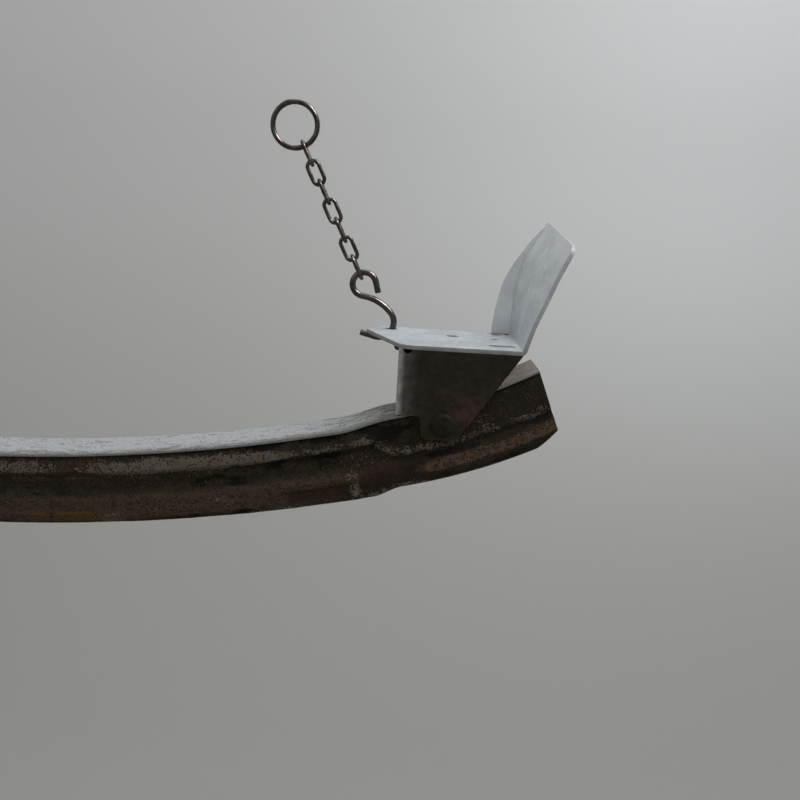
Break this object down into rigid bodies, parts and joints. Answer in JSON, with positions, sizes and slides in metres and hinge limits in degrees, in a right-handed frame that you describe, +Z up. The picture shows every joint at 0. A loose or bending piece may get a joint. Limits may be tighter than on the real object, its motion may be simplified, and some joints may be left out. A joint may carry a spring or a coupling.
{
  "type": "bumper beam with mounting brackets",
  "caption": "Curved pressed-steel bumper beam with folded mounting brackets at its ends, hung on S-hooks and short-link chain.",
  "frame": {"origin": "midway between the two inner round mounting holes, on the top faces of the bracket plates", "axes": "+X along the beam to its right-hand end, +Y across the beam, +Z up, out of the mounting faces and away from the road side"},
  "size_m": [0.9174, 0.0956, 0.3254],
  "materials": {
    "beam_side_steel": "flaking dark paint over rust",
    "beam_rear_steel": "chalky pale primer, worn",
    "plate_paint": "satin pale grey primer",
    "box_paint": "dark dip paint, satin",
    "weld_steel": "as welded, oxidised",
    "bolt_steel": "dark, lightly rusted",
    "hook_steel": "dull zinc with wear",
    "chain_steel": "dull zinc with wear"
  },
  "bodies": {
    "beam": {"beam_front_channel": "beam_side_steel", "beam_rear_plate": "beam_rear_steel", "right_bracket_plate": "plate_paint", "right_bracket_box": "box_paint", "right_bracket_welds": "weld_steel", "right_bracket_bolt": "bolt_steel", "right_bracket_nut": "bolt_steel", "right_bolt_spacer": "bolt_steel", "left_bracket_plate": "plate_paint", "left_bracket_box": "box_paint", "left_bracket_welds": "weld_steel", "left_bracket_bolt": "bolt_steel", "left_bracket_nut": "bolt_steel", "left_bolt_spacer": "bolt_steel"},
    "right_hook": {"right_s_hook": "hook_steel"},
    "right_link_1": {"right_chain_link_1": "chain_steel"},
    "right_link_2": {"right_chain_link_2": "chain_steel"},
    "right_link_3": {"right_chain_link_3": "chain_steel"},
    "right_link_4": {"right_chain_link_4": "chain_steel"},
    "right_link_5": {"right_chain_link_5": "chain_steel"},
    "right_link_6": {"right_chain_link_6": "chain_steel"},
    "right_link_7": {"right_chain_link_7": "chain_steel"},
    "right_ring": {"right_chain_ring": "chain_steel"},
    "left_hook": {"left_s_hook": "hook_steel"},
    "left_link_1": {"left_chain_link_1": "chain_steel"},
    "left_link_2": {"left_chain_link_2": "chain_steel"},
    "left_link_3": {"left_chain_link_3": "chain_steel"},
    "left_link_4": {"left_chain_link_4": "chain_steel"},
    "left_link_5": {"left_chain_link_5": "chain_steel"},
    "left_link_6": {"left_chain_link_6": "chain_steel"},
    "left_link_7": {"left_chain_link_7": "chain_steel"},
    "left_ring": {"left_chain_ring": "chain_steel"}
  },
  "joints": [
    {"name": "right_hook_swing", "type": "hinge", "parent": "beam", "child": "right_hook", "pos_m": [0.32135, 0.0213, 0.00462], "axis": [0, 1, 0], "range_deg": [-50, 30]},
    {"name": "right_link_1_tilt", "type": "hinge", "parent": "right_hook", "child": "right_link_1", "pos_m": [0.30434, 0.0213, 0.04232], "axis": [0.8957, 0, 0.4446], "range_deg": [-35, 35]},
    {"name": "right_link_2_swing", "type": "hinge", "parent": "right_link_1", "child": "right_link_2", "pos_m": [0.2978, 0.0213, 0.05549], "axis": [0, 1, 0], "range_deg": [-35, 35]},
    {"name": "right_link_3_tilt", "type": "hinge", "parent": "right_link_2", "child": "right_link_3", "pos_m": [0.29082, 0.0213, 0.06955], "axis": [0.8957, 0, 0.4446], "range_deg": [-35, 35]},
    {"name": "right_link_4_swing", "type": "hinge", "parent": "right_link_3", "child": "right_link_4", "pos_m": [0.28384, 0.0213, 0.08361], "axis": [0, 1, 0], "range_deg": [-35, 35]},
    {"name": "right_link_5_tilt", "type": "hinge", "parent": "right_link_4", "child": "right_link_5", "pos_m": [0.27686, 0.0213, 0.09767], "axis": [0.8957, 0, 0.4446], "range_deg": [-35, 35]},
    {"name": "right_link_6_swing", "type": "hinge", "parent": "right_link_5", "child": "right_link_6", "pos_m": [0.26988, 0.0213, 0.11174], "axis": [0, 1, 0], "range_deg": [-35, 35]},
    {"name": "right_link_7_tilt", "type": "hinge", "parent": "right_link_6", "child": "right_link_7", "pos_m": [0.2629, 0.0213, 0.1258], "axis": [0.8957, 0, 0.4446], "range_deg": [-35, 35]},
    {"name": "right_ring_swing", "type": "hinge", "parent": "right_link_7", "child": "right_ring", "pos_m": [0.25592, 0.0213, 0.13986], "axis": [0, 1, 0], "range_deg": [-60, 60]},
    {"name": "left_hook_swing", "type": "hinge", "parent": "beam", "child": "left_hook", "pos_m": [-0.32135, 0.0213, 0.00462], "axis": [0, -1, 0], "range_deg": [-50, 30]},
    {"name": "left_link_1_tilt", "type": "hinge", "parent": "left_hook", "child": "left_link_1", "pos_m": [-0.30434, 0.0213, 0.04232], "axis": [0.8957, 0, -0.4446], "range_deg": [-35, 35]},
    {"name": "left_link_2_swing", "type": "hinge", "parent": "left_link_1", "child": "left_link_2", "pos_m": [-0.2978, 0.0213, 0.05549], "axis": [0, -1, 0], "range_deg": [-35, 35]},
    {"name": "left_link_3_tilt", "type": "hinge", "parent": "left_link_2", "child": "left_link_3", "pos_m": [-0.29082, 0.0213, 0.06955], "axis": [0.8957, 0, -0.4446], "range_deg": [-35, 35]},
    {"name": "left_link_4_swing", "type": "hinge", "parent": "left_link_3", "child": "left_link_4", "pos_m": [-0.28384, 0.0213, 0.08361], "axis": [0, -1, 0], "range_deg": [-35, 35]},
    {"name": "left_link_5_tilt", "type": "hinge", "parent": "left_link_4", "child": "left_link_5", "pos_m": [-0.27686, 0.0213, 0.09767], "axis": [0.8957, 0, -0.4446], "range_deg": [-35, 35]},
    {"name": "left_link_6_swing", "type": "hinge", "parent": "left_link_5", "child": "left_link_6", "pos_m": [-0.26988, 0.0213, 0.11174], "axis": [0, -1, 0], "range_deg": [-35, 35]},
    {"name": "left_link_7_tilt", "type": "hinge", "parent": "left_link_6", "child": "left_link_7", "pos_m": [-0.2629, 0.0213, 0.1258], "axis": [0.8957, 0, -0.4446], "range_deg": [-35, 35]},
    {"name": "left_ring_swing", "type": "hinge", "parent": "left_link_7", "child": "left_ring", "pos_m": [-0.25592, 0.0213, 0.13986], "axis": [0, -1, 0], "range_deg": [-60, 60]}
  ]
}
